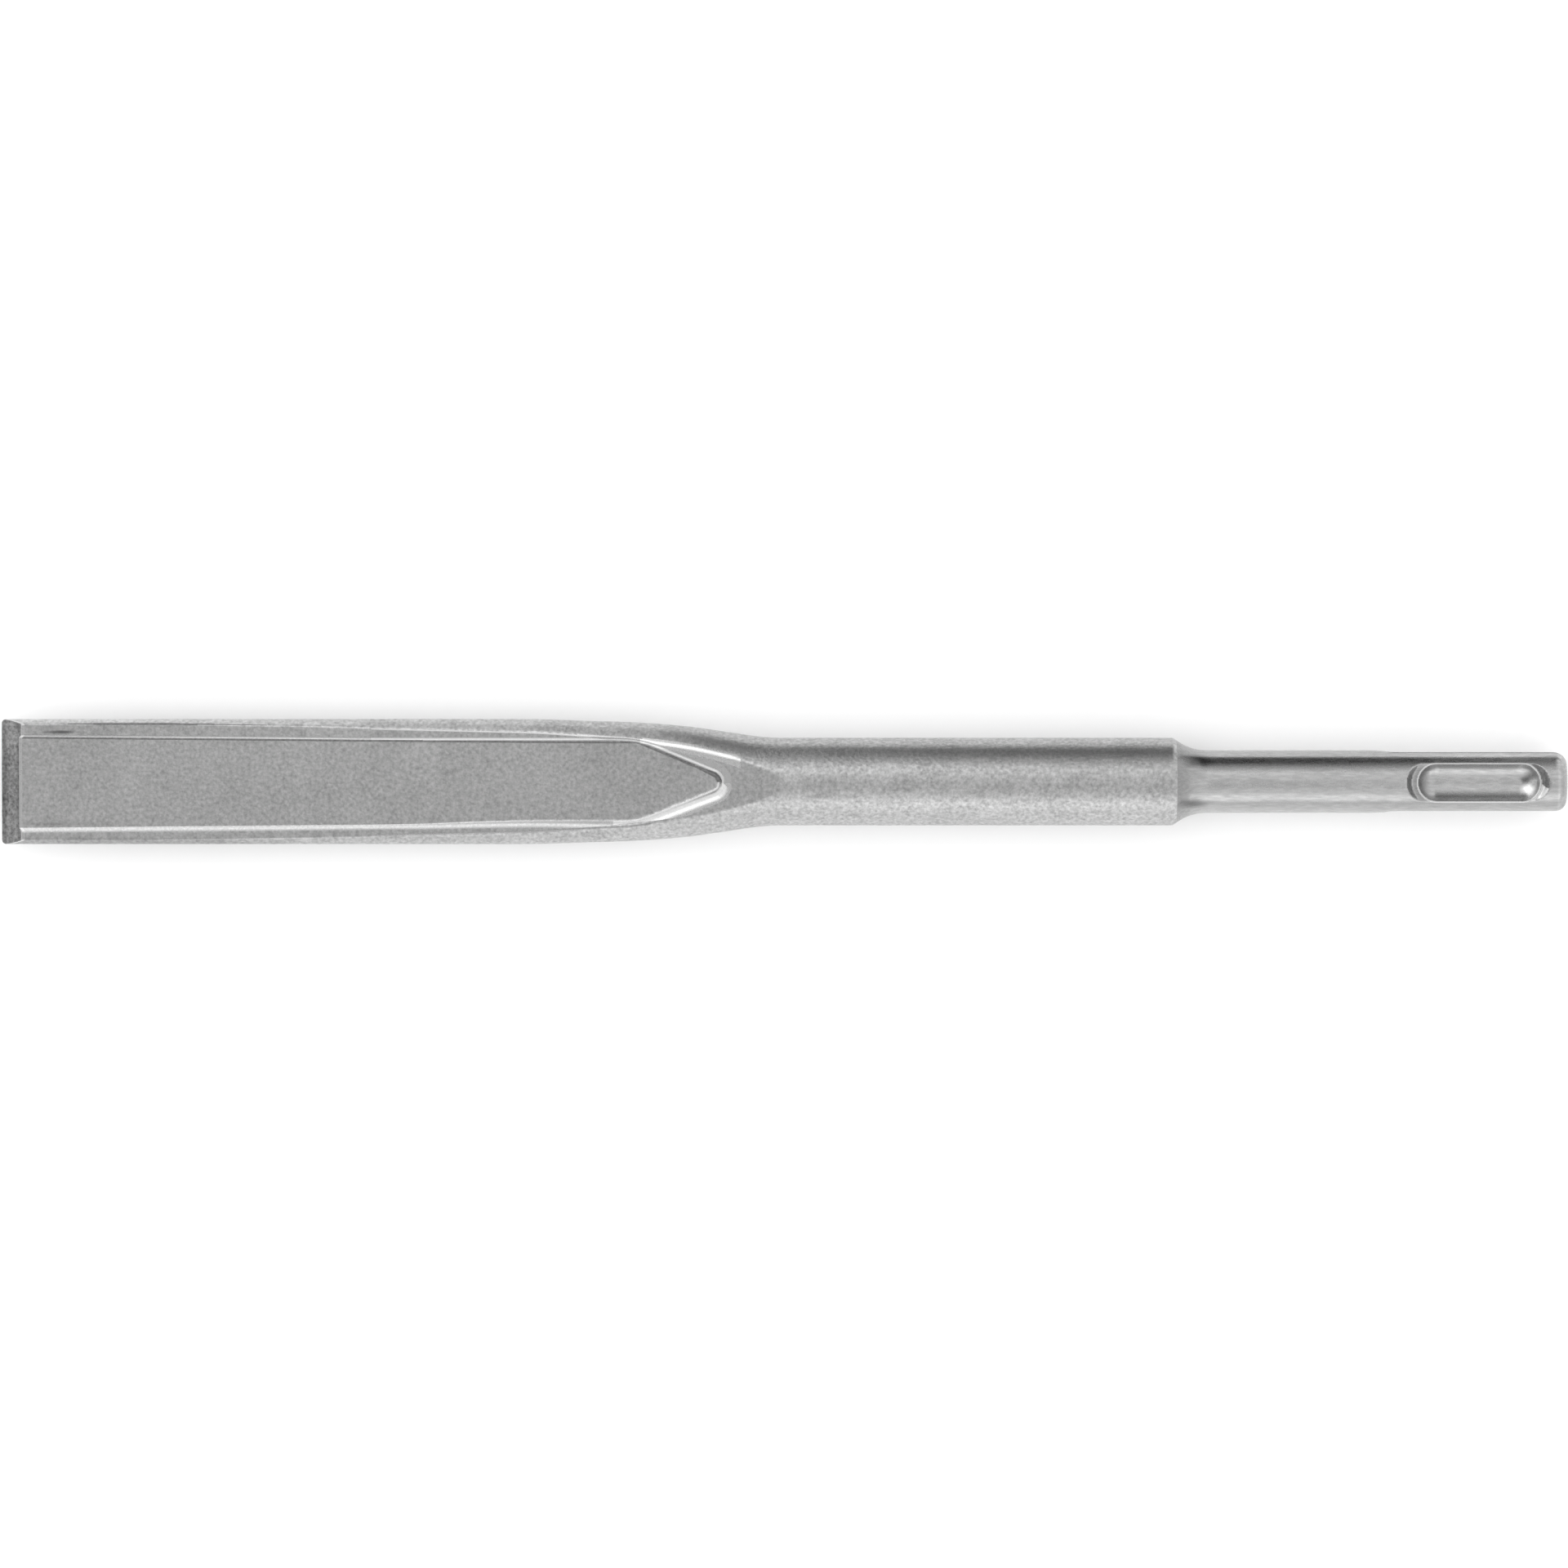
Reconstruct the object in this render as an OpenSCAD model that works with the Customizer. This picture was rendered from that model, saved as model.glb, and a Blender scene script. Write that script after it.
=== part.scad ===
// Flat chisel for a rotary hammer: one steel forging with a slotted round shank.
// The tool lies along X with its flat faces up and down. The origin is the centre of the
// striking face, and the cutting edge is at X = -overall_len.
// Stations, called s below, are measured along the tool from the cutting edge.

/* [Overall] */
// Length from the cutting edge to the striking face
overall_len = 250; // [235:1:320]
// Length of the forged blade, from the cutting edge to the round body
forged_len = 125; // [115:1:135]
// Steps per full turn of the turned and ground surfaces
turn_steps = 96; // [48:12:144]

/* [Blade] */
// Width across the blade
blade_w = 20; // [19:0.5:26]
// Thickness over the two rims at the cutting edge, if the bevels were not ground
rim_t = 4.24; // [4:0.02:5]
// Thickness that is left flat along the ground cutting edge
edge_t = 0.6; // [0.3:0.1:1.2]
// Angle between the two ground bevels
edge_angle = 60; // [50:1:75]
// Radius of the cutting edge's two corners, seen on the flat face
edge_corner_r = 0.7; // [0.3:0.1:1.5]
// Facets around the bulged sides of the forging, as steps per full turn
forged_steps = 72; // [48:12:96]

/* [Panel recess] */
// Web thickness between the two recessed panels at the cutting edge
web_t = 3.8; // [3:0.1:4]
// Width of the panel's floor at the cutting edge
panel_tip_w = 14.7; // [12:0.1:15.5]
// Width of the panel's floor where its sides bend in to the point
panel_root_w = 12.9; // [11:0.1:13.5]
// Station of the centre of the side bends
panel_bend_s = 99.1; // [90:0.1:104]
// Radius of the side bends
panel_bend_r = 12; // [2:0.5:16]
// Station of the point of the panel
panel_point_s = 114.6; // [110:0.1:118]
// Radius of the point of the panel
panel_point_r = 1.4; // [0.8:0.1:2.5]
// Draft of the recess walls from upright
panel_draft = 7; // [3:1:12]

/* [Body] */
// Diameter of the round body
body_d = 14; // [12.5:0.5:18]
// Rounding of the body's corner at the shoulder, as a small chamfer
body_chamfer = 0.25; // [0.1:0.05:0.6]

/* [Shank] */
// Diameter of the shank
shank_d = 10; // [9.5:0.1:10.5]
// Length of the shank from the body's corner to the striking face
shank_len = 62.5; // [55:0.5:75]
// Radius of the hollow fillet between the body's corner and the shank
shoulder_r = 8; // [5:0.5:10]
// Chamfer around the striking face
end_chamfer = 1.3; // [0.5:0.05:1.6]

/* [Lock pockets] */
// Length of a pocket at its rim
pocket_len = 19.5; // [16:0.5:24]
// Width of a pocket at its rim
pocket_w = 6; // [5.5:0.1:6.4]
// Diameter of the locking ball, which gives the hollow bottom
ball_d = 7; // [6.5:0.1:8]
// Distance from the striking face to the pocket's near end
pocket_gap = 4.4; // [3:0.1:6]
// How far the shallow ledge reaches past the pocket's end that faces the blade
ledge_far = 1.75; // [0.8:0.05:2.2]
// How far the shallow ledge reaches past the pocket's end that faces the striking face
ledge_near = 1.4; // [0.6:0.05:2.2]
// Height of the ledge above the pocket's rim
ledge_lift = 0.05; // [0.05:0.05:0.5]
// Run of the ledge's sloped end wall, seen from above
ledge_wall_run = 0.5; // [0.2:0.05:0.8]

/* [Drive grooves] */
// Width of a drive groove
groove_w = 3.4; // [2.8:0.1:3.6]
// Distance between the floors of the two drive grooves
groove_floor = 7.7; // [7:0.1:8.4]
// Length of a drive groove at its full depth
groove_len = 25; // [22:0.5:28]
// Radius of the cutter that leaves the groove's run-out
groove_cutter_r = 7.5; // [5:0.5:12]

/* [Hidden] */
body_r = body_d / 2;
shank_r = shank_d / 2;
blade_r = blade_w / 2;
groove_floor_r = groove_floor / 2;
body_end_s = overall_len - shank_len;
// Room by which a cutter passes clear of the material
clear = 1;
// Turn of the round surfaces' seam about the axis, which keeps it off the line that the tool lies on
seam_turn = 4.29;
// The forged root is this much smaller than the body, so its faces seat inside the body's end
root_step = 0.02;
// Ring spacing of the forging where its width changes, and where it is even
ring_gap = 2.8;
even_ring_gap = 8;
// Straight steps along the curved flat face, and around the shoulder's fillet
face_steps = 25;
fillet_steps = 12;
// Straight steps along each side of the panel, around its bend, along its flank, and around each half of its point
side_steps = 13;
bend_steps = 6;
flank_steps = 5;
point_steps = 6;
// How far the recess cutter starts before the cutting edge
mouth_reach = 3;

// Half width of the forging past its even stretch: share of the forged length, and share of
// the way from the body's radius up to the blade's half width
WIDTH_CURVE = [[0.67, 1], [0.745, 0.91], [0.81, 0.82], [0.876, 0.61], [0.936, 0.26], [0.97, 0.06], [1, 0]];
// Height of the flat face: share of the forged length, and share of the way from half the
// rim thickness up to the body's radius. It ends just above the body, so that the cut clears it.
FACE_CURVE = [
    [0, 0], [0.35, 0.01], [0.5, 0.02], [0.61, 0.09], [0.73, 0.2], [0.8, 0.355], [0.917, 0.713], [1, 1.004]
];
// Slope at which the flat face runs out of the round body, in the shares above
FACE_END_SLOPE = 3.4;
// Height of the panel's floor: share of the forged length, and share of the way from half the
// web thickness up to the body's radius
FLOOR_CURVE = [[0, 0], [0.35, 0], [0.5, 0.01], [0.61, 0.05], [0.73, 0.125], [0.8, 0.24], [0.917, 0.5], [1, 0.69]];
// Half height of the oval that bulges the forging's sides: share of the forged length, and
// share of the body's radius
BULGE_CURVE = [
    [0, 0.82], [0.2, 0.83], [0.35, 0.73], [0.5, 0.62], [0.61, 0.65], [0.73, 0.71], [0.8, 0.79], [0.9, 0.95], [1, 1]
];

// Rise over run between entries i and i + 1 of a curve
function secant(curve, i) = (curve[i + 1][1] - curve[i][1]) / (curve[i + 1][0] - curve[i][0]);
// Slope of a curve at entry i: even at its start, mean of its neighbours inside, and as given at its end
function slope_at(curve, i, end_slope) =
    i == 0 ? 0 : i == len(curve) - 1 ? end_slope : (secant(curve, i - 1) + secant(curve, i)) / 2;
// Last entry of a curve that starts at or before u, short of its end
function entry_at(curve, u) = max([for (i = [0 : len(curve) - 2]) if (i == 0 || curve[i][0] <= u) i]);
// Value at u of the smooth cubic through a curve's entries
function smooth_at(curve, u, end_slope) =
    let (i = entry_at(curve, u), span = curve[i + 1][0] - curve[i][0], t = (u - curve[i][0]) / span)
    curve[i][1] * (2 * pow(t, 3) - 3 * pow(t, 2) + 1)
    + curve[i + 1][1] * (3 * pow(t, 2) - 2 * pow(t, 3))
    + span * slope_at(curve, i, end_slope) * (pow(t, 3) - 2 * pow(t, 2) + t)
    + span * slope_at(curve, i + 1, end_slope) * (pow(t, 3) - pow(t, 2));

function half_width(s) = body_r + (blade_r - body_r) * smooth_at(WIDTH_CURVE, s / forged_len, 0);
function face_height(s) = rim_t / 2 + (body_r - rim_t / 2) * smooth_at(FACE_CURVE, s / forged_len, FACE_END_SLOPE);
function floor_height(s) = web_t / 2 + (body_r - web_t / 2) * smooth_at(FLOOR_CURVE, s / forged_len, 0);
function bulge_height(s) = body_r * smooth_at(BULGE_CURVE, s / forged_len, 0);

// Outline of one half of the panel at the height of the web, as station, distance from the
// axis and angle of its outward normal: side line, bend arc, flank line and point arc
bend_y = panel_root_w / 2 - panel_bend_r;
point_c_s = panel_point_s - panel_point_r;
side_angle = 90 - atan((panel_tip_w - panel_root_w) / 2 / panel_bend_s);
flank_angle = 90 + atan2(-bend_y, point_c_s - panel_bend_s)
    - asin((panel_bend_r - panel_point_r) / norm([point_c_s - panel_bend_s, bend_y]));
bend_start_s = panel_bend_s + panel_bend_r * cos(side_angle);
function side_y(s) = (panel_bend_r - (s - panel_bend_s) * cos(side_angle)) / sin(side_angle) + bend_y;
PANEL_OUTLINE = concat(
    [for (i = [0 : side_steps - 1]) let (s = -mouth_reach + (bend_start_s + mouth_reach) * i / side_steps)
        [s, side_y(s), side_angle]],
    [for (i = [0 : bend_steps]) let (a = side_angle + (flank_angle - side_angle) * i / bend_steps)
        [panel_bend_s + panel_bend_r * cos(a), bend_y + panel_bend_r * sin(a), a]],
    [for (i = [1 : flank_steps - 1]) let (share = i / flank_steps)
        [
            panel_bend_s + (point_c_s - panel_bend_s) * share
                + (panel_bend_r + (panel_point_r - panel_bend_r) * share) * cos(flank_angle),
            bend_y * (1 - share) + (panel_bend_r + (panel_point_r - panel_bend_r) * share) * sin(flank_angle),
            flank_angle
        ]],
    [for (i = [0 : point_steps - 1]) let (a = flank_angle * (1 - i / point_steps))
        [point_c_s + panel_point_r * cos(a), panel_point_r * sin(a), a]]
);

taper_start_s = WIDTH_CURVE[0][0] * forged_len;
even_steps = round(taper_start_s / even_ring_gap);
taper_steps = round((forged_len - taper_start_s) / ring_gap);
EVEN_S = [for (i = [0 : even_steps - 1]) taper_start_s * i / even_steps];
TAPER_S = [for (i = [0 : taper_steps]) taper_start_s + (forged_len - taper_start_s) * i / taper_steps];
// Rings of the forging, as station, half width and half height. The last two seat it in the body.
RINGS = concat(
    [for (s = EVEN_S) [s, blade_r, bulge_height(s)]],
    [for (s = TAPER_S) [s, half_width(s) - root_step, bulge_height(s) - root_step]],
    [[forged_len + clear, body_r - root_step, body_r - root_step]]
);

// The forging before its faces are cut: oval rings as wide as the blade and as high as its bulged sides need
module forging() {
    n = forged_steps;
    last = len(RINGS) - 1;
    points = [
        for (ring = RINGS) for (k = [0 : n - 1])
            [ring[0], ring[1] * cos(360 * k / n), ring[2] * sin(360 * k / n)]
    ];
    sides = [
        for (r = [0 : last - 1]) for (k = [0 : n - 1])
            let (a = r * n + k, b = r * n + (k + 1) % n)
            each [[a, a + n, b], [b, a + n, b + n]]
    ];
    near_end = [[for (k = [0 : n - 1]) k]];
    far_end = [[for (k = [n - 1 : -1 : 0]) last * n + k]];
    polyhedron(points, concat(sides, near_end, far_end));
}

// Body, shoulder fillet, shank and end chamfer, turned about the tool's axis
module turned_bar() {
    fillet_sweep = acos(1 - (body_r - body_chamfer - shank_r) / shoulder_r);
    fillet_end_s = body_end_s + shoulder_r * sin(fillet_sweep);
    fillet = [
        for (i = [0 : fillet_steps])
            let (a = fillet_sweep * (1 - i / fillet_steps))
            [shank_r + shoulder_r * (1 - cos(a)), fillet_end_s - shoulder_r * sin(a)]
    ];
    rotate([0, 90, 0])
        rotate([0, 0, seam_turn])
            rotate_extrude($fn = turn_steps)
                polygon(concat(
                    [[0, forged_len], [body_r, forged_len], [body_r, body_end_s - body_chamfer]],
                    fillet,
                    [[shank_r, overall_len - end_chamfer], [shank_r - end_chamfer, overall_len], [0, overall_len]]
                ));
}

// Removes what lies above one flat face of the forging
module face_cut() {
    face = [for (i = [0 : face_steps]) let (s = forged_len * i / face_steps) [s, face_height(s)]];
    end_rise = FACE_END_SLOPE * (body_r - rim_t / 2) / forged_len * clear;
    face_end = face[face_steps][1];
    top = body_r + 2 * clear;
    translate([0, blade_w, 0])
        rotate([90, 0, 0])
            linear_extrude(2 * blade_w)
                polygon(concat(
                    [[-clear, top], [-clear, face[0][1]]],
                    face,
                    [[forged_len + clear, face_end + end_rise], [forged_len + clear, top]]
                ));
}

// The long pointed panel in one flat face, open at the cutting edge. Its floor follows the
// floor's curve, and its walls lean outwards by their draft.
module panel_recess() {
    top = body_r + clear;
    last = len(PANEL_OUTLINE) - 1;
    function at(entry, side, z) =
        let (out = (z - web_t / 2) * tan(panel_draft))
        [entry[0] + out * cos(entry[2]), side * (entry[1] + out * sin(entry[2])), z];
    points = [
        for (entry = PANEL_OUTLINE) for (z = [floor_height(entry[0]), top]) for (side = [1, -1]) at(entry, side, z)
    ];
    strips = [
        for (i = [0 : last - 1])
            let (a = 4 * i, b = a + 1, c = a + 5, d = a + 4)
            each [
                [a, b, c], [a, c, d],
                [a + 2, d + 2, c + 2], [a + 2, c + 2, b + 2],
                [a, d, d + 2], [a, d + 2, a + 2],
                [b, b + 2, c + 2], [b, c + 2, c]
            ]
    ];
    polyhedron(points, concat(strips, [[2, 3, 1, 0]], [[4 * last, 4 * last + 1, 4 * last + 3, 4 * last + 2]]));
}

// Ground bevel of one flat face
module bevel_cut() {
    rise = tan(edge_angle / 2);
    reach = 2 * rim_t;
    translate([0, blade_w, 0])
        rotate([90, 0, 0])
            linear_extrude(2 * blade_w)
                polygon([
                    [-clear, edge_t / 2 - clear * rise],
                    [reach, edge_t / 2 + reach * rise],
                    [-clear, edge_t / 2 + reach * rise]
                ]);
}

// Rounds one corner of the cutting edge, seen on the flat face
module edge_corner_cut() {
    translate([0, blade_r, 0])
        difference() {
            translate([-clear, -edge_corner_r, -body_r])
                cube([edge_corner_r + clear, edge_corner_r + clear, body_d]);
            translate([edge_corner_r, -edge_corner_r, -body_r - clear])
                cylinder(h = body_d + 2 * clear, r = edge_corner_r, $fn = turn_steps);
        }
}

// Closed pocket for the locking ball, with a hollow bottom and a shallow ledge at each end
module lock_pocket() {
    ball_r = ball_d / 2;
    rim_r = pocket_w / 2;
    rim_z = sqrt(pow(shank_r, 2) - pow(rim_r, 2));
    ball_z = rim_z + sqrt(pow(ball_r, 2) - pow(rim_r, 2));
    straight = pocket_len - pocket_w;
    ledge_z = rim_z + ledge_lift;
    wall_slope = ledge_wall_run / (shank_r - ledge_z);
    ledge_h = shank_r + clear - ledge_z;
    translate([overall_len - pocket_gap - pocket_len + rim_r, 0, 0]) {
        translate([0, 0, ball_z])
            rotate([0, 90, 0])
                cylinder(h = straight, r = ball_r, $fn = turn_steps);
        for (x = [0, straight])
            translate([x, 0, ball_z])
                sphere(r = ball_r, $fn = turn_steps);
        hull()
            for (x = [-ledge_far, straight + ledge_near])
                translate([x, 0, ledge_z])
                    cylinder(
                        h = ledge_h, r1 = rim_r - ledge_wall_run,
                        r2 = rim_r - ledge_wall_run + ledge_h * wall_slope, $fn = turn_steps
                    );
    }
}

// Open drive groove that ends in the cutter's run-out
module drive_groove() {
    translate([0, groove_floor_r, -groove_w / 2]) {
        translate([overall_len - groove_len, 0, 0])
            cube([groove_len + clear, shank_r, groove_w]);
        translate([overall_len - groove_len, groove_cutter_r, 0])
            cylinder(h = groove_w, r = groove_cutter_r, $fn = turn_steps);
    }
}

// The whole tool, one solid
module chisel() {
    color("silver")
        translate([-overall_len, 0, 0])
            difference() {
                union() {
                    forging();
                    turned_bar();
                }
                for (flip = [0, 1]) {
                    mirror([0, 0, flip]) {
                        face_cut();
                        panel_recess();
                        bevel_cut();
                        lock_pocket();
                    }
                    mirror([0, flip, 0]) {
                        edge_corner_cut();
                        drive_groove();
                    }
                }
            }
}

chisel();
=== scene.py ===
"""Looks of the flat chisel: one shot-blasted steel forging with ground bevels and a turned, slotted shank.

The tool lies along X with its flat faces up and down, its cutting edge at -X and its striking face at X = 0.
Stations, called s, run in millimetres from the cutting edge to the striking face, as in the part's source.
"""
import math

import bmesh
import bpy
import numpy as np
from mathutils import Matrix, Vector


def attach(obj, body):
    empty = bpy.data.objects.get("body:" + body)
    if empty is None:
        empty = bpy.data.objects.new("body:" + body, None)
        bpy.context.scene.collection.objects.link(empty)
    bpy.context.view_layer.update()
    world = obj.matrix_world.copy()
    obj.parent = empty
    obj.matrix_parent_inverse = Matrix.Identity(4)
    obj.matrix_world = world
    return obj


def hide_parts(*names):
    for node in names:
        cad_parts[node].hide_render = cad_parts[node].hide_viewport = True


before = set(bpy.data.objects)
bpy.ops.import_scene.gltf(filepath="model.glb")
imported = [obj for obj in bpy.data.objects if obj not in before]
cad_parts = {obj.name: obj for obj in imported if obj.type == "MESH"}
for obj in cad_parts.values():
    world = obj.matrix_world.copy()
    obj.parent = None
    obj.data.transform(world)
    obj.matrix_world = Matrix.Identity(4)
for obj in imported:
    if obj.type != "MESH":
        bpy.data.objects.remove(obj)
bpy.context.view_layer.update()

MM = 0.001
# Blade, in millimetres
OVERALL_LEN = 250.0
FORGED_LEN = 125.0
BLADE_R = 10.0
RIM_R = 2.12
EDGE_R = 0.22
EDGE_CORNER_R = 0.7
BEVEL_RISE = math.tan(math.radians(30))
# Recessed panels
WEB_R = 1.9
PANEL_TIP_R = 7.35
PANEL_ROOT_R = 6.45
PANEL_BEND_S = 99.1
PANEL_BEND_R = 12.0
PANEL_POINT_S = 114.6
PANEL_POINT_R = 1.4
PANEL_DRAFT = math.radians(7)
# Rounds of the recess walls on the +Y and the -Y side, as the forging dies left them: along the foot near the
# cutting edge and near the point, and along the top. Last, how much wider the -Y side is near the cutting edge.
LEFT_WALL = (0.3, 0.3, 0.8, 0.0)
RIGHT_WALL = (0.3, 0.75, 2.0, 0.25)
POINT_TOP_R = 0.5
# Body and shank
BODY_R = 7.0
BODY_CHAMFER = 0.25
SHANK_R = 5.0
SHANK_LEN = 62.5
SHOULDER_R = 8.0
END_ROUND_R = 1.85
# Lock pockets
POCKET_LEN = 19.5
POCKET_R = 3.0
BALL_R = 3.5
POCKET_GAP = 4.4
LEDGE_FAR = 1.85
LEDGE_NEAR = 1.4
LEDGE_LIFT = 0.05
LEDGE_WALL_RUN = 0.8
# Drive grooves
GROOVE_HALF_W = 1.7
GROOVE_FLOOR = 3.85
GROOVE_LEN = 25.0
GROOVE_CUTTER_R = 7.5
GROOVE_LEAD_LEN = 6.5
GROOVE_LEAD_DROP = 0.36
GROOVE_DRAFT = math.radians(4)
GROOVE_ROUND = 0.18

BODY_END_S = OVERALL_LEN - SHANK_LEN
# Half width and face height of the forging, as shares of its length and of the step to the round body
WIDTH_CURVE = [(0.67, 1), (0.745, 0.91), (0.81, 0.82), (0.876, 0.61), (0.936, 0.26), (0.97, 0.06), (1, 0)]
FACE_CURVE = [(0, 0), (0.35, 0.01), (0.5, 0.02), (0.61, 0.09), (0.73, 0.2), (0.8, 0.355), (0.917, 0.713), (1, 1.004)]
FACE_END_SLOPE = 3.4
# Height of the panel's floor, as shares of the forged length and of the step to the body's radius
FLOOR_CURVE = [(0, 0), (0.35, 0), (0.5, 0.01), (0.61, 0.05), (0.73, 0.125), (0.8, 0.24), (0.917, 0.5), (1, 0.69)]
# Half height of the oval that bulges the forging's sides, as shares of its length and of the body's radius
BULGE_CURVE = [
    (0, 0.82), (0.2, 0.83), (0.35, 0.73), (0.5, 0.62), (0.61, 0.65), (0.73, 0.71), (0.8, 0.79), (0.9, 0.95), (1, 1),
]


def smooth_at(curve, end_slope, u):
    """Smooth cubic through a curve's entries: even at its start, with the mean of the neighbours' slopes inside.

    Short of the first entry and past the last one, it keeps their values.
    """
    at, value = np.array(curve, float).T
    u = np.clip(u, at[0], at[-1])
    secant = np.diff(value) / np.diff(at)
    slope = np.concatenate([[0.0], (secant[1:] + secant[:-1]) / 2, [end_slope]])
    i = np.clip(np.searchsorted(at, u, side="right") - 1, 0, len(at) - 2)
    span = at[i + 1] - at[i]
    t = (u - at[i]) / span
    return (
        value[i] * (2 * t**3 - 3 * t**2 + 1)
        + value[i + 1] * (3 * t**2 - 2 * t**3)
        + span * slope[i] * (t**3 - 2 * t**2 + t)
        + span * slope[i + 1] * (t**3 - t**2)
    )


def blend_min(a, b, room):
    """The lower of two heights, with the crease between them rounded where they are within room of each other."""
    near = np.maximum(room - np.abs(a - b), 0) / room
    return np.minimum(a, b) - near**2 * room / 4


def ease(s, start, end):
    """Rises smoothly from 0 at start to 1 at end."""
    t = np.clip((s - start) / (end - start), 0, 1)
    return t * t * (3 - 2 * t)


def face_height(s):
    """Height of the blade's flat face over the tool's axis. Past the forging it leaves the body at an even slope."""
    u = s / FORGED_LEN
    inside = RIM_R + (BODY_R - RIM_R) * smooth_at(FACE_CURVE, FACE_END_SLOPE, u)
    return inside + FACE_END_SLOPE * (BODY_R - RIM_R) * np.maximum(u - 1, 0)


def floor_height(s):
    """Height of the recessed panel's floor over the tool's axis."""
    return WEB_R + (BODY_R - WEB_R) * smooth_at(FLOOR_CURVE, 0, s / FORGED_LEN)


def turned_radius(s):
    """Radius of the round body, of the hollow fillet down to the shank, and of the shank with its rounded end."""
    drop = BODY_R - BODY_CHAMFER - SHANK_R
    fillet_end = BODY_END_S + math.sqrt(SHOULDER_R**2 - (SHOULDER_R - drop) ** 2)
    to_end = np.clip(fillet_end - s, 0, SHOULDER_R * 0.99)
    fillet = SHANK_R + SHOULDER_R - np.sqrt(SHOULDER_R**2 - to_end**2)
    body = blend_min(np.full_like(s, BODY_R), fillet, 0.35)
    into_round = np.clip(s - OVERALL_LEN + END_ROUND_R, 0, END_ROUND_R)
    return body - END_ROUND_R + np.sqrt(END_ROUND_R**2 - into_round**2)


def bulge_height(s):
    """Half height of the whole tool: of the oval that bulges the forging's sides, and then the turned radius."""
    return np.where(s < FORGED_LEN, BODY_R * smooth_at(BULGE_CURVE, 0, s / FORGED_LEN), turned_radius(s))


def half_width(s):
    """Half of the tool's width: the blade's, with its edge's corners rounded, and then the turned radius."""
    blade = BODY_R + (BLADE_R - BODY_R) * smooth_at(WIDTH_CURVE, 0, s / FORGED_LEN)
    in_corner = np.clip(EDGE_CORNER_R - s, 0, EDGE_CORNER_R)
    blade = blade - EDGE_CORNER_R + np.sqrt(EDGE_CORNER_R**2 - in_corner**2)
    return np.where(s < FORGED_LEN, blade, turned_radius(s))


def panel_lines():
    """Outward normals of the panel's side line and flank line, which touch its bend, point and mouth circles."""
    bend = np.array([PANEL_BEND_S, PANEL_ROOT_R - PANEL_BEND_R])
    point = np.array([PANEL_POINT_S - PANEL_POINT_R, 0.0])
    way = point - bend
    turn = math.asin((PANEL_BEND_R - PANEL_POINT_R) / np.hypot(*way))
    flank = math.atan2(way[1], way[0]) - turn
    side = math.atan2(PANEL_ROOT_R - PANEL_TIP_R, PANEL_BEND_S)
    normals = [np.array([-math.sin(a), math.cos(a)]) for a in (side, flank)]
    return bend, point, normals[0], normals[1]


def panel_distance(s, y):
    """Distance outwards from the outline of the panel's floor: side line, bend arc, flank line, point arc."""
    bend, point, side_n, flank_n = panel_lines()
    bend_s, bend_y = s - bend[0], y - bend[1]
    point_s, point_y = s - point[0], y - point[1]
    side = bend_s * side_n[0] + bend_y * side_n[1] - PANEL_BEND_R
    flank = bend_s * flank_n[0] + bend_y * flank_n[1] - PANEL_BEND_R
    past_side = bend_s * side_n[1] - bend_y * side_n[0] > 0
    past_bend = bend_s * flank_n[1] - bend_y * flank_n[0] > 0
    past_flank = point_s * flank_n[1] - point_y * flank_n[0] > 0
    at_bend = np.hypot(bend_s, bend_y) - PANEL_BEND_R
    at_point = np.hypot(point_s, point_y) - PANEL_POINT_R
    distance = np.where(past_side, np.where(past_bend, flank, at_bend), side)
    return np.where(past_flank, at_point, distance)


def wall_rise(distance, height, foot_r, top_r, draft):
    """Rise of a wall over its floor, up to height: a foot arc that starts foot_r inside, a drafted stretch, a top arc."""
    height = np.maximum(height, 1e-6)
    lean = np.arccos(np.clip(1 - height / (foot_r + top_r), math.sin(draft), 1))
    foot_run, top_run = foot_r * np.sin(lean), top_r * np.sin(lean)
    foot_rise, top_rise = foot_r * (1 - np.cos(lean)), top_r * (1 - np.cos(lean))
    run = np.maximum(height - foot_rise - top_rise, 0) * math.tan(draft)
    d = distance + foot_r
    to_end = foot_run + run + top_run - d
    foot = foot_r - np.sqrt(foot_r**2 - np.clip(d, 0, foot_run) ** 2)
    top = height - top_r + np.sqrt(top_r**2 - np.clip(to_end, 0, top_run) ** 2)
    middle = foot_rise + (d - foot_run) / math.tan(draft)
    rise = np.where(d < foot_run, foot, np.where(to_end < top_run, top, middle))
    return np.clip(rise, 0, height)


def pocket_distance(s, y, far=0.0, near=0.0):
    """Distance from the line of a lock pocket's ball centres, drawn out by far and near past its two ends."""
    last = OVERALL_LEN - POCKET_GAP - POCKET_R
    first = last - POCKET_LEN + 2 * POCKET_R
    return np.hypot(np.maximum(np.maximum(first - far - s, s - last - near), 0), y)


def pocket_height(s, y):
    """Surface of a lock pocket: the ball's hollow run along a line, and the shallow ledge past each of its ends."""
    out = pocket_distance(s, y)
    rim = math.sqrt(SHANK_R**2 - POCKET_R**2)
    ball = rim + math.sqrt(BALL_R**2 - POCKET_R**2)
    inside = np.clip(out, 0, BALL_R * 0.999)
    hollow = ball - np.sqrt(BALL_R**2 - inside**2) + np.maximum(out - inside, 0) * 30
    inside_ledge = POCKET_R - pocket_distance(s, y, LEDGE_FAR, LEDGE_NEAR)
    bar = np.sqrt(np.maximum(SHANK_R**2 - y**2, 0))
    ledge = rim + LEDGE_LIFT
    wall = bar - inside_ledge * (SHANK_R - ledge) / LEDGE_WALL_RUN
    return blend_min(hollow, -blend_min(-wall, np.full_like(wall, -ledge), 0.12), 0.14)


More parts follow.
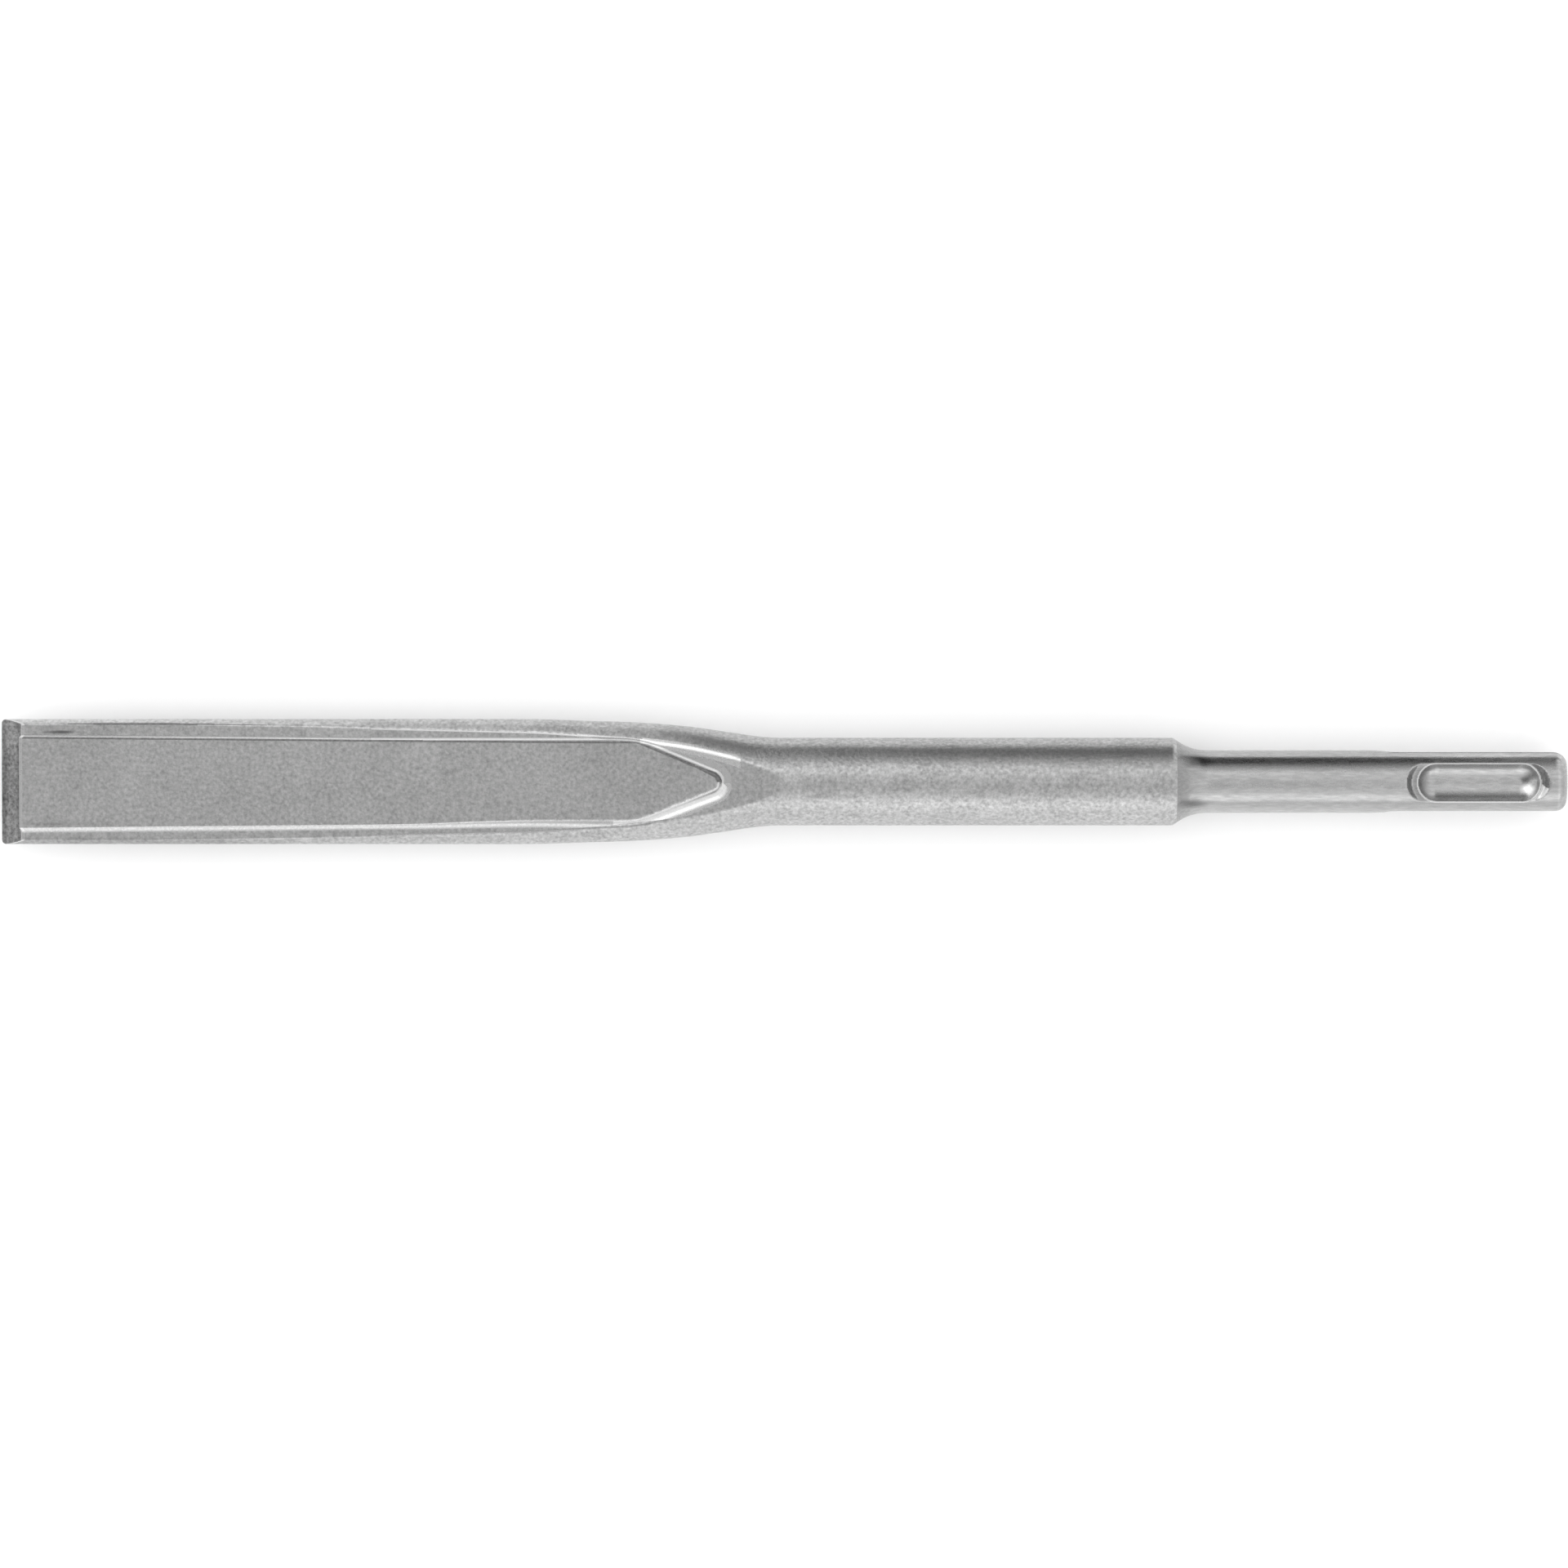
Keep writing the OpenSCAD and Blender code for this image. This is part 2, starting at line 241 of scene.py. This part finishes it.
def groove_floor(s):
    """Distance of a drive groove's floor from the axis. Its run-out follows the cutter, with a shallow worn lead."""
    before = np.clip(OVERALL_LEN - GROOVE_LEN - s, 0, GROOVE_CUTTER_R * 0.95)
    cut = GROOVE_FLOOR + GROOVE_CUTTER_R - np.sqrt(GROOVE_CUTTER_R**2 - before**2)
    lead = SHANK_R - (s - OVERALL_LEN + GROOVE_LEN + GROOVE_LEAD_LEN) * GROOVE_LEAD_DROP / GROOVE_LEAD_LEN
    return blend_min(cut, lead, 0.2)


def section_angles(s, foot_r, top_r, widened):
    """Angles of one quarter section's points, from the top of the tool (a right angle) down to its side (nothing).

    They crowd where the surface bends: at the panel's wall, the rim's outer edge, the pocket's rim and the groove.
    """
    floor_n, wall_n, rim_n, side_n = SECTION_COUNTS
    across = half_width(s)
    bend, point, side_line, flank_line = panel_lines()
    side_y = bend[1] + (PANEL_BEND_R - (s - bend[0]) * side_line[0]) / side_line[1]
    flank_y = bend[1] + (PANEL_BEND_R - (s - bend[0]) * flank_line[0]) / flank_line[1]
    foot = np.minimum(side_y, flank_y) + widened
    lean = np.where(side_y < flank_y, side_line[1], flank_line[1])
    depth = np.maximum(np.minimum(face_height(s), BODY_R) - floor_height(s), 0)
    foot = foot + (floor_height(s) - WEB_R) * math.tan(PANEL_DRAFT) / lean
    top_run = np.sqrt(np.minimum(2 * top_r * depth, top_r**2))
    border = np.minimum(face_height(s), EDGE_R + s * BEVEL_RISE)
    border = np.clip(border / bulge_height(s), 0, 0.999)
    rim_edge = across * np.sqrt(1 - border**2)
    wall_in = foot - (foot_r + 0.06) / lean
    wall_out = np.minimum(foot + (depth * math.tan(PANEL_DRAFT) + top_run + 0.06) / lean, rim_edge - 0.35)
    rim_out = rim_edge - 0.3
    wall_in = np.maximum(wall_in, 0.05)

    def spread(low, high, count, last=False):
        t = np.linspace(0, 1, count + 1)[: None if last else -1]
        return low[:, None] + (high - low)[:, None] * t

    none = np.zeros_like(s)
    blade_y = np.hstack([
        spread(none, wall_in, floor_n),
        spread(wall_in, wall_out, wall_n),
        spread(wall_out, rim_out, rim_n, last=True),
    ])
    arrow_out = np.full_like(s, 3.6)
    arrow_y = np.hstack([
        spread(none, arrow_out, floor_n + wall_n),
        spread(arrow_out, np.maximum(rim_out, 3.9), rim_n, last=True),
    ])

    def with_side(y):
        angle = np.arccos(np.clip(y / across[:, None], 0, 1))
        t = np.linspace(1, 0, side_n + 1)[1:] ** 1.25
        return np.hstack([angle, angle[:, -1:] * t])

    even = np.broadcast_to(np.linspace(math.pi / 2, 0, sum(SECTION_COUNTS) + 1), (len(s), sum(SECTION_COUNTS) + 1))
    pocket_rim = math.acos(POCKET_R / SHANK_R)
    groove_edge = math.asin(GROOVE_HALF_W / SHANK_R)
    slots = np.concatenate([
        np.arccos(np.linspace(0, POCKET_R - 0.35, 19)[:-1] / SHANK_R),
        np.linspace(pocket_rim + 0.09, pocket_rim - 0.07, 13)[:-1],
        np.linspace(pocket_rim - 0.07, groove_edge + 0.07, 9)[:-1],
        np.linspace(groove_edge + 0.07, groove_edge - 0.07, 17)[:-1],
        np.linspace(groove_edge - 0.07, 0, sum(SECTION_COUNTS) - 54 + 1),
    ])
    slots = np.broadcast_to(slots, even.shape)
    to_arrow = ease(s, 108.5, 111.5)[:, None]
    to_even = ease(s, 117, 126)[:, None]
    to_slots = ease(s, 150, 186)[:, None]
    angle = with_side(blade_y) * (1 - to_arrow) + with_side(arrow_y) * to_arrow
    angle = angle * (1 - to_even) + even * to_even
    return angle * (1 - to_slots) + slots * to_slots


SECTION_COUNTS = (9, 24, 7, 22)
# Stretches of stations as (end, number of steps), closer where the surface bends along the tool
STRETCHES = [
    (0.12, 3), (0.7, 7), (2.3, 6), (3.8, 18), (12, 6), (84, 26), (100, 14), (109, 26),
    (112.6, 22), (116.6, 40), (126, 32), (132, 6), (186.6, 12), (187.2, 3), (188.2, 9), (194, 10),
    (217, 5), (222, 14), (224, 7), (229.4, 40), (239.6, 7), (247.2, 46), (248.4, 5), (249.98, 18), (250, 1),
]


def stations():
    """Every station of the tool, in order."""
    ends = np.array([0.0] + [end for end, _ in STRETCHES])
    steps = [np.linspace(a, b, n + 1)[1:] for a, b, (_, n) in zip(ends[:-1], ends[1:], STRETCHES)]
    return np.concatenate([[0.0]] + steps)


def quarter_surface(edge_foot_r, root_foot_r, side_top_r, widening):
    """One quarter of the tool's surface as three grids, station by section point.

    Each section starts as an oval as wide as the tool. The flat face, the recess, the bevel and the pocket then
    lower it, and the drive groove draws in its side.
    """
    s = stations()
    foot_r = edge_foot_r + (root_foot_r - edge_foot_r) * ease(s, 65, 88)
    widened = widening * (1 - ease(s, 58, 80))
    angle = section_angles(s, foot_r, side_top_r, widened)
    s_grid = np.broadcast_to(s[:, None], angle.shape)
    across = half_width(s)[:, None]
    up = bulge_height(s)[:, None]
    y = across * np.cos(angle)
    z = up * np.sin(angle)
    face = face_height(s_grid)
    crease = 0.08 + 0.14 * np.clip((BODY_R - face) / (BODY_R - RIM_R), 0, 1)
    z = np.where(s_grid < FORGED_LEN + 6, blend_min(z, face, crease), z)
    panel = floor_height(s_grid)
    outside = panel_distance(s_grid, y) - (panel - WEB_R) * math.tan(PANEL_DRAFT) - widened[:, None]
    top_r = POINT_TOP_R + (side_top_r - POINT_TOP_R) * ease(y, 0, 0.9)
    rise = wall_rise(outside, z - panel, foot_r[:, None], top_r, PANEL_DRAFT)
    z = np.where((s_grid < 120) & (z > panel), panel + rise, z)
    z = np.where(s_grid < 8, blend_min(z, EDGE_R + s_grid * BEVEL_RISE, 0.05), z)
    z = np.where(s_grid > 215, blend_min(z, pocket_height(s_grid, y), 0.26), z)
    floor = groove_floor(s_grid)
    side = wall_rise(z - GROOVE_HALF_W, y - floor, GROOVE_ROUND, GROOVE_ROUND, GROOVE_DRAFT) + floor
    grooved = (s_grid > 212) & (y > floor) & (angle < math.radians(45))
    y = np.where(grooved, side, y)
    z[:, -1] = 0
    y[:, 0] = 0
    return s_grid, y, z


def whole_rings(left, right):
    """The quarters of the +Y and the -Y side, each mirrored top to bottom, as closed rings: station by point."""
    s, left_y, left_z = left
    _, right_y, right_z = right
    ring_y = np.hstack([left_y[:, :-1], left_y[:, :0:-1], -right_y[:, :-1], -right_y[:, :0:-1]])
    ring_z = np.hstack([left_z[:, :-1], -left_z[:, :0:-1], -right_z[:, :-1], right_z[:, :0:-1]])
    ring_x = np.broadcast_to(s[:, :1] - OVERALL_LEN, ring_y.shape)
    return np.stack([ring_x, ring_y, ring_z], axis=2)


def capped(rings):
    """Adds rings that close both ends flat: at the cutting edge towards its middle line, at the shank to its centre."""
    edge, end = rings[0], rings[-1]
    thin = [edge * [1, 1, share] for share in (0.0, 0.45, 0.85)]
    small = [end * [1, share, share] for share in (0.985, 0.7, 0.35, 0.0)]
    return np.concatenate([np.array(thin), rings, np.array(small)])


def grid_mesh(name, rings):
    """A closed mesh from rings of points, with quads between neighbours and doubles merged at its ends."""
    count, around = rings.shape[:2]
    row = np.arange(count - 1)[:, None] * around
    at = np.arange(around)[None, :]
    nxt = (at + 1) % around
    quads = np.stack([row + at, row + around + at, row + around + nxt, row + nxt], axis=2).reshape(-1, 4)
    mesh = bpy.data.meshes.new(name)
    mesh.from_pydata((rings.reshape(-1, 3) * MM).tolist(), [], quads.tolist())
    bm = bmesh.new()
    bm.from_mesh(mesh)
    bmesh.ops.remove_doubles(bm, verts=bm.verts, dist=2e-7)
    bmesh.ops.dissolve_degenerate(bm, edges=bm.edges, dist=1e-8)
    bmesh.ops.recalc_face_normals(bm, faces=bm.faces)
    bm.to_mesh(mesh)
    bm.free()
    mesh.polygons.foreach_set("use_smooth", np.ones(len(mesh.polygons), bool))
    mesh.update()
    return mesh


def make_piece(name, mesh, *materials):
    """An object at the origin with its materials, linked to the scene."""
    piece = bpy.data.objects.new(name, mesh)
    bpy.context.scene.collection.objects.link(piece)
    for material in materials:
        mesh.materials.append(material)
    return piece


def linear(hex_colour):
    """An sRGB hex colour as linear red, green, blue and a full alpha."""
    parts = [int(hex_colour[i : i + 2], 16) / 255 for i in (1, 3, 5)]
    return [c / 12.92 if c <= 0.04045 else ((c + 0.055) / 1.055) ** 2.4 for c in parts] + [1.0]


def add_node(tree, kind, settings=None, **inputs):
    """Adds a node of a kind to a tree, sets its settings, and sets or links its inputs by name."""
    node = tree.nodes.new(kind)
    for key, value in (settings or {}).items():
        setattr(node, key, value)
    for key, value in inputs.items():
        socket = node.inputs[int(key[1:])] if key[0] == "i" and key[1:].isdigit() else node.inputs[key.replace("_", " ")]
        if isinstance(value, bpy.types.NodeSocket):
            tree.links.new(value, socket)
        else:
            socket.default_value = value
    return node


def steel(name, light_hex, dark_hex, roughness, grain_mm, grain_height, painted_shade_ramp=(0, 1, 1.0), marks=(), stretch=1.0):
    """Bare tool steel: a metal whose colour and gloss vary with a grain of a real size, and a bump of that grain.

    Between the two stations of painted_shade_ramp its colour rises from the given share of itself, a painted shade.
    A mark is a soft oval, darker or lighter than the rest: its station, its distance from the axis, its half length,
    its half width and its share. Some marks are painted shade or painted highlights.
    The grain is drawn out along X by stretch.
    """
    material = bpy.data.materials.new(name)
    material.use_nodes = True
    tree = material.node_tree
    tree.nodes.clear()
    out = add_node(tree, "ShaderNodeOutputMaterial")
    place = add_node(tree, "ShaderNodeTexCoord").outputs["Object"]
    drawn = add_node(tree, "ShaderNodeVectorMath", {"operation": "MULTIPLY"}, i0=place, i1=(1 / stretch, 1, 1))
    grain = add_node(
        tree, "ShaderNodeTexNoise", {"noise_dimensions": "3D"},
        Vector=drawn.outputs["Vector"], Scale=1 / (grain_mm * MM), Detail=3.0, Roughness=0.6,
    )
    cloud = add_node(
        tree, "ShaderNodeTexNoise", {"noise_dimensions": "3D"},
        Vector=place, Scale=1 / (6 * MM), Detail=2.0, Roughness=0.5,
    )
    both = add_node(tree, "ShaderNodeMath", {"operation": "MULTIPLY_ADD"}, i0=cloud.outputs["Fac"], i1=0.2, i2=grain.outputs["Fac"])
    share = add_node(
        tree, "ShaderNodeMapRange", {"clamp": True},
        Value=both.outputs[0], From_Min=0.375, From_Max=0.825, To_Min=0.0, To_Max=1.0,
    )
    colour = add_node(
        tree, "ShaderNodeMix", {"data_type": "RGBA"},
        Factor=share.outputs["Result"],
    )
    colour.inputs[6].default_value = linear(dark_hex)
    colour.inputs[7].default_value = linear(light_hex)
    along = add_node(tree, "ShaderNodeSeparateXYZ", None, Vector=place)
    start, end, share = painted_shade_ramp
    shade = add_node(
        tree, "ShaderNodeMapRange", {"clamp": True, "interpolation_type": "SMOOTHSTEP"},
        Value=along.outputs["X"], From_Min=(start - OVERALL_LEN) * MM, From_Max=(end - OVERALL_LEN) * MM, To_Min=share,
    )
    shaded = add_node(
        tree, "ShaderNodeVectorMath", {"operation": "SCALE"},
        i0=colour.outputs[2], Scale=shade.outputs["Result"],
    )
    for at, beside, half_len, half_w, mark_share in marks:
        off = add_node(
            tree, "ShaderNodeVectorMath", {"operation": "SUBTRACT"},
            i0=place, i1=((at - OVERALL_LEN) * MM, beside * MM, 0),
        )
        off = add_node(
            tree, "ShaderNodeVectorMath", {"operation": "MULTIPLY"},
            i0=off.outputs["Vector"], i1=(1 / (half_len * MM), 1 / (half_w * MM), 0),
        )
        far = add_node(tree, "ShaderNodeVectorMath", {"operation": "LENGTH"}, i0=off.outputs["Vector"])
        fade = add_node(
            tree, "ShaderNodeMapRange", {"clamp": True, "interpolation_type": "SMOOTHSTEP"},
            Value=far.outputs["Value"], From_Min=0.2, From_Max=1.4, To_Min=mark_share,
        )
        shaded = add_node(
            tree, "ShaderNodeVectorMath", {"operation": "SCALE"},
            i0=shaded.outputs["Vector"], Scale=fade.outputs["Result"],
        )
    rough = add_node(
        tree, "ShaderNodeMapRange", {"clamp": True},
        Value=grain.outputs["Fac"], From_Min=0.3, From_Max=0.7, To_Min=roughness + 0.05, To_Max=roughness - 0.05,
    )
    bump = add_node(
        tree, "ShaderNodeBump", None,
        Strength=1.0, Distance=grain_height * MM, Height=grain.outputs["Fac"],
    )
    shader = add_node(
        tree, "ShaderNodeBsdfPrincipled", None,
        Base_Color=shaded.outputs["Vector"], Roughness=rough.outputs["Result"], Normal=bump.outputs["Normal"],
    )
    shader.inputs["Metallic"].default_value = 1.0
    tree.links.new(shader.outputs["BSDF"], out.inputs["Surface"])
    return material


def paint_faces(mesh):
    """Gives each face its finish by where it lies, as an index into FINISHES."""
    count = len(mesh.polygons)
    centre = np.empty(count * 3)
    normal = np.empty(count * 3)
    mesh.polygons.foreach_get("center", centre)
    mesh.polygons.foreach_get("normal", normal)
    centre, normal = centre.reshape(-1, 3) / MM, normal.reshape(-1, 3)
    s, y, z = centre[:, 0] + OVERALL_LEN, centre[:, 1], np.abs(centre[:, 2])
    outside = panel_distance(s, np.abs(y)) - (floor_height(s) - WEB_R) * math.tan(PANEL_DRAFT)
    outside = outside - np.where(y < 0, RIGHT_WALL[3] * (1 - ease(s, 58, 80)), 0)
    on_face = (s < 118) & (np.abs(normal[:, 2]) > 0.3)
    ground = (s < 4) & (normal[:, 0] < -0.4) | (s < 0.02)
    past_bevel = s - (z - EDGE_R) / BEVEL_RISE
    # Along the bevel's border: worn steel with a painted highlight for its light line.
    bevel_top = (s < 4) & (past_bevel < 0.5) & on_face
    turned = s > BODY_END_S + 0.2
    oval = bulge_height(s) * np.sqrt(np.maximum(1 - (y / half_width(s)) ** 2, 0))
    to_border = oval - face_height(s)
    # A painted shade: a dark line along the +Y rim's outer crease near the cutting edge.
    line = 0.24 * ease(s, 6, 18) * (1 - ease(s, 26, 44))
    crease_shade_line = on_face & (y > 0) & (np.abs(to_border) < line)
    # The +Y border of the flat face near the body: a painted highlight, brightest past s 102.
    border = on_face & (y > 0) & (s > 92) & (np.abs(to_border) < 0.16 + 0.36 * ease(s, 95, 112))
    # The recess walls: smoother rubbed steel, lightened further as a painted highlight, most on the -Y wall near the
    # point.
    wall = on_face & (to_border > 0.1) & (outside < 1.8) & (outside > np.where(y < 0, -0.45, -0.1))
    wall = wall & ((np.hypot(normal[:, 1], normal[:, 0]) > 0.1) | (y < 0) & (outside < 0) & (s > 55) & (s < 112))
    # A painted shade: a dark line along the foot of the +Y wall.
    foot = on_face & (y > 0.1) & (np.abs(outside + 0.22) < 0.17 + 0.25 * ease(s, 111, 114))
    sunk = (z > 3.6) & (z < np.sqrt(np.maximum(SHANK_R**2 - y**2, 0)) - 0.05)
    # Painted shade on a pocket's far ledge and on part of its near end, a painted highlight on the rest of that end.
    far_ledge = (s > 222) & (s < 226) & (normal[:, 0] > 0.3) & sunk
    past_rim = (s > 244) & (s < 247.4) & (pocket_distance(s, y) > POCKET_R + 0.25) & sunk
    shaded_pocket_end = past_rim & (y + 0.8 * (s - 246) > -0.3)
    pocket_rim = (s > 224) & (s < 247.4) & (np.abs(pocket_distance(s, y) - POCKET_R - 0.08) < 0.14)
    # Finish 4 paints shade and finish 5 paints highlights; 3 and 6 are rubbed and worn steel lightened as a painted
    # highlight.
    finish = np.select(
        [
            ground, bevel_top, far_ledge | shaded_pocket_end, past_rim, pocket_rim, turned, foot | crease_shade_line,
            wall & (s > 98) & (y < 0) | border & (s > 102), wall & (s > 60) & (y > 0),
        ],
        [1, 6, 4, 5, 6, 2, 4, 5, 6], np.where(border | wall, 3, 0),
    )
    mesh.polygons.foreach_set("material_index", finish.astype(np.int32))


# A darker spot on the +Y rim near the cutting edge, a painted highlight along the +Y side, painted shade
# along the -Y side and at the foot of the -Y wall, and a painted highlight along the body's -Y side
RIM_MARKS = (
    (9.3, 8.0, 2.6, 0.3, 0.35), (18.0, 10.3, 26.0, 0.8, 1.2), (16.0, -9.7, 34.0, 0.7, 0.7), (8.0, -6.7, 7.0, 0.3, 0.8),
    (155.0, -3.6, 60.0, 1.6, 1.1),
)
# Darker bands along the bevel's two edges, and a darker middle
BEVEL_MARKS = ((0.4, 0.0, 0.55, 15.0, 0.66), (2.85, 0.0, 0.42, 15.0, 0.7), (1.4, -2.0, 9.0, 7.0, 0.88))
# A painted shade along the +Y wall near the cutting edge
WALL_MARKS = ((12.0, 7.5, 26.0, 0.6, 0.86),)
# Painted shade at the top and bottom of the shoulder's fillet and along both sides of the shank, a lighter
# strip beside the pocket, the end's round darker with a lighter band before it, and painted shade and painted
# highlights at the pockets' ends
SHANK_MARKS = (
    (190.9, 3.4, 2.4, 1.0, 0.35), (190.2, -3.3, 2.4, 0.8, 0.55),
    (218.0, -3.7, 60.0, 0.9, 0.82), (218.0, 4.7, 60.0, 0.6, 0.86), (236.5, 3.9, 10.0, 0.6, 1.35),
    (249.6, 0.0, 0.55, 8.0, 0.8), (248.6, 0.0, 0.25, 6.0, 1.15),
    (226.6, 0.0, 1.3, 2.9, 0.55), (227.6, 2.2, 0.8, 0.5, 0.7), (229.2, 2.0, 0.4, 0.6, 1.25),
    (242.6, 2.0, 0.8, 0.6, 1.3), (244.2, 1.1, 1.0, 0.8, 0.4), (243.3, 0.5, 0.9, 0.5, 0.5),
    (243.7, -1.5, 1.2, 1.2, 2.2),
)
# Finishes 3 and 6 carry a painted highlight, 4 is a painted shade and 5 a painted highlight; marks of 0, 2 and 3 hold
# painted shade and highlights too.
FINISHES = [
    steel("shot_blasted_tool_steel", "#c8c8c8", "#969696", 0.38, 0.6, 0.05, marks=RIM_MARKS),
    steel("ground_tool_steel", "#ababab", "#616161", 0.34, 0.5, 0.02, marks=BEVEL_MARKS),
    # The shoulder's fillet is darkened as a painted shade, rising to the full colour 5 mm past the body.
    steel(
        "turned_tool_steel", "#c0c0c0", "#a8a8a8", 0.27, 0.4, 0.006,
        painted_shade_ramp=(BODY_END_S, BODY_END_S + 5, 0.68), marks=SHANK_MARKS, stretch=5.0,
    ),
    steel("rubbed_and_highlight_steel", "#c2c2c2", "#b4b4b4", 0.28, 0.4, 0.01, marks=WALL_MARKS),
    steel("painted_shade_steel", "#8a8a8a", "#6a6a6a", 0.42, 0.4, 0.03),
    steel("painted_highlight_steel", "#e6e6e6", "#d6d6d6", 0.27, 0.4, 0.01),
    steel("worn_and_highlight_steel", "#cecece", "#c6c6c6", 0.3, 0.4, 0.01),
]

chisel_mesh = grid_mesh("chisel_forging", capped(whole_rings(quarter_surface(*LEFT_WALL), quarter_surface(*RIGHT_WALL))))
paint_faces(chisel_mesh)
chisel = make_piece("chisel_forging", chisel_mesh, *FINISHES)
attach(chisel, "root")
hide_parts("chisel")


def make_floor():
    """A wide white table under the tool."""
    mesh = bpy.data.meshes.new("white_table")
    half = 3.0
    z = -BODY_R * MM
    mesh.from_pydata([(-half, -half, z), (half, -half, z), (half, half, z), (-half, half, z)], [], [(0, 1, 2, 3)])
    material = bpy.data.materials.new("white_table_top")
    material.use_nodes = True
    shader = material.node_tree.nodes["Principled BSDF"]
    shader.inputs["Base Color"].default_value = linear("#f6f6f6")
    shader.inputs["Roughness"].default_value = 0.8
    floor = make_piece("white_table", mesh, material)


def make_world():
    """A plain white room: full white where it is seen or mirrored, softer where it lights matt surfaces."""
    world = bpy.data.worlds.new("white_room")
    bpy.context.scene.world = world
    world.use_nodes = True
    tree = world.node_tree
    tree.nodes.clear()
    path = add_node(tree, "ShaderNodeLightPath")
    seen = add_node(
        tree, "ShaderNodeMath", {"operation": "MAXIMUM"},
        i0=path.outputs["Is Camera Ray"], i1=path.outputs["Is Glossy Ray"],
    )
    seen = add_node(
        tree, "ShaderNodeMath", {"operation": "MAXIMUM"},
        i0=seen.outputs[0], i1=path.outputs["Is Transmission Ray"],
    )
    level = add_node(
        tree, "ShaderNodeMapRange", None,
        Value=seen.outputs[0], To_Min=ROOM_LIGHT, To_Max=1.0,
    )
    back = add_node(
        tree, "ShaderNodeBackground", None,
        Color=(1, 1, 1, 1), Strength=level.outputs["Result"],
    )
    out = add_node(tree, "ShaderNodeOutputWorld")
    tree.links.new(back.outputs[0], out.inputs["Surface"])
    world.cycles.sampling_method = "NONE"


ROOM_LIGHT = 1.35
MIDDLE = Vector((-OVERALL_LEN / 2 * MM, 0, 0))


def softbox(name, place, size, power):
    """A rectangular studio lamp at a place round the tool's middle, turned towards it."""
    data = bpy.data.lights.new(name, "AREA")
    data.shape = "RECTANGLE"
    data.size, data.size_y = size
    data.energy = power
    lamp = bpy.data.objects.new(name, data)
    lamp.location = MIDDLE + Vector(place)
    lamp.rotation_euler = (-Vector(place)).to_track_quat("-Z", "Y").to_euler()
    bpy.context.scene.collection.objects.link(lamp)
    return lamp


def card(name, corner, across, up, foot_hex, top_hex, ramp):
    """A matt card beside the set, from a corner along two edges, that only the metal mirrors.

    Its grey runs from the foot's to the top's between the two heights of ramp.
    """
    corner, across, up = Vector(corner), Vector(across), Vector(up)
    mesh = bpy.data.meshes.new(name)
    points = [corner, corner + across, corner + across + up, corner + up]
    mesh.from_pydata([MIDDLE + point for point in points], [], [(0, 1, 2, 3)])
    material = bpy.data.materials.new(name + "_paint")
    material.use_nodes = True
    tree = material.node_tree
    shader = tree.nodes["Principled BSDF"]
    shader.inputs["Roughness"].default_value = 1.0
    place = add_node(tree, "ShaderNodeTexCoord").outputs["Object"]
    split = add_node(tree, "ShaderNodeSeparateXYZ", None, Vector=place)
    height = add_node(tree, "ShaderNodeMapRange", None, Value=split.outputs["Z"], From_Min=ramp[0], From_Max=ramp[1])
    grey = add_node(tree, "ShaderNodeMix", {"data_type": "RGBA"}, Factor=height.outputs["Result"])
    grey.inputs[6].default_value = linear(foot_hex)
    grey.inputs[7].default_value = linear(top_hex)
    tree.links.new(grey.outputs[2], shader.inputs["Base Color"])
    piece = make_piece(name, mesh, material)
    piece.visible_camera = False
    piece.visible_diffuse = False
    piece.visible_shadow = False
    piece.visible_transmission = False


def make_camera():
    """A long lens straight over the flat face, a little towards +Y, framed as the photograph is."""
    width_mm = 250.65
    distance = 1.6
    tilt = math.radians(2.5)
    target = MIDDLE + Vector((0, -0.39 * MM, 0))
    data = bpy.data.cameras.new("camera")
    data.sensor_width = 36
    data.lens = 36 * distance / (width_mm * MM)
    data.clip_start, data.clip_end = 0.01, 20
    camera = bpy.data.objects.new("camera", data)
    camera.location = target + Vector((0, math.sin(tilt), math.cos(tilt))) * distance
    camera.rotation_euler = (-tilt, 0, 0)
    bpy.context.scene.collection.objects.link(camera)
    bpy.context.scene.camera = camera


make_floor()
make_world()
softbox("low_softbox", (0.0, -0.9, 0.5), (1.8, 0.5), 1.35)
softbox("high_softbox", (-0.1, 0.2, 0.29), (0.24, 0.16), 0.1)
card("graded_card", (-0.02, 0.3, -0.006), (0.18, 0, 0), (0, 0, 0.5), "#060606", "#fafafa", (0.075, 0.47))
card("back_cloth", (-0.02, 0.035, -0.006), (0.18, 0, 0), (0, 0.265, 0), "#060606", "#060606", (0, 1))
card("ceiling_card", (-1.2, -0.7, 1.7), (1.3, 0, 0), (0, 0.9, 0), "#a4a4a4", "#a4a4a4", (0, 2))
make_camera()
bpy.context.scene.view_settings.view_transform = "Standard"
